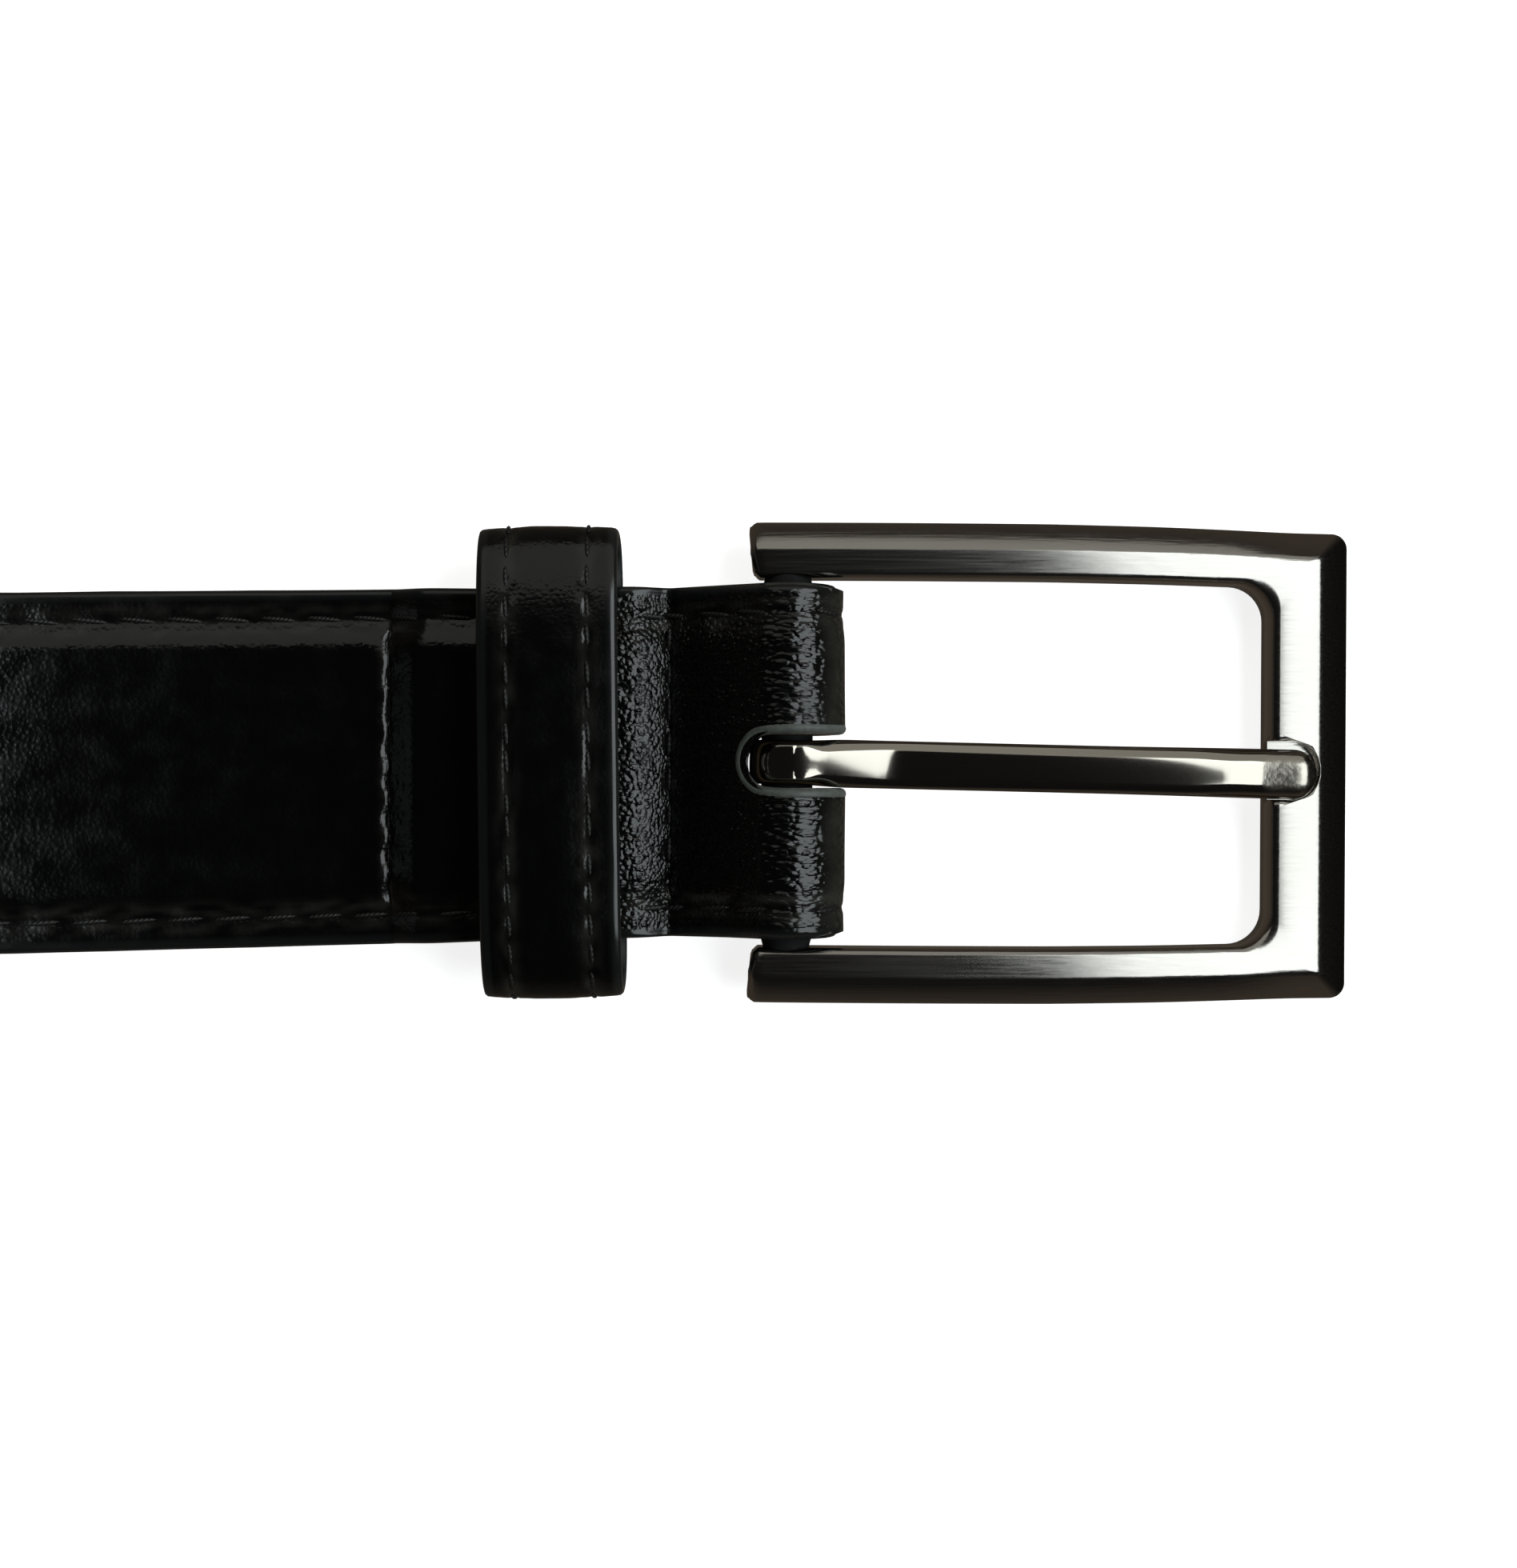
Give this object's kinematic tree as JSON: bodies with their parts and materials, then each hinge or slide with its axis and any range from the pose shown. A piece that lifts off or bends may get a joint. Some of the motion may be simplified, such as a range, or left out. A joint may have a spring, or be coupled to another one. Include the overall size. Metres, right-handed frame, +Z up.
{
  "type": "leather belt",
  "caption": "Stitched leather dress belt with a rectangular brushed pin buckle and a loose keeper loop, its strap rolled up behind the buckle end.",
  "frame": {"origin": "on the table under the middle of the whole belt, half-way between the far side of the roll and the end of the buckle", "axes": "+X along the strap towards the buckle, +Y across the strap, +Z up from the table on the grain side"},
  "size_m": [0.237, 0.0482, 0.0793],
  "materials": {
    "face_leather": "glazed black calf with a fine crease grain, painted cut edges",
    "lining_leather": "matt black split leather",
    "padding": "pressed fibre board",
    "thread": "waxed black thread",
    "staple_wire": "bright wire",
    "brushed_nickel": "dark nickel plate, brushed lengthwise",
    "polished_nickel": "polished black nickel plate"
  },
  "bodies": {
    "strap": {"strap_face": "face_leather", "strap_core": "padding", "strap_lining": "lining_leather", "edge_stitching_left": "thread", "edge_stitching_right": "thread", "front_cross_stitching": "thread", "rear_cross_stitching": "thread"},
    "keeper": {"keeper_face": "face_leather", "keeper_lining": "lining_leather", "keeper_front_stitching": "thread", "keeper_rear_stitching": "thread", "keeper_staple": "staple_wire"},
    "buckle": {"buckle_frame": "brushed_nickel"},
    "prong": {"prong": "polished_nickel"}
  },
  "joints": [
    {"name": "buckle_hinge", "type": "hinge", "parent": "strap", "child": "buckle", "pos_m": [0.06177, 0, 0.0057], "axis": [0, -1, 0], "range_deg": [-60, 20]},
    {"name": "prong_hinge", "type": "hinge", "parent": "buckle", "child": "prong", "pos_m": [0.06177, 0, 0.0057], "axis": [0, -1, 0], "range_deg": [0, 60]},
    {"name": "keeper_slide", "type": "slide", "parent": "strap", "child": "keeper", "axis": [1, 0, 0], "range_m": [-0.0052, 0.0011]}
  ]
}
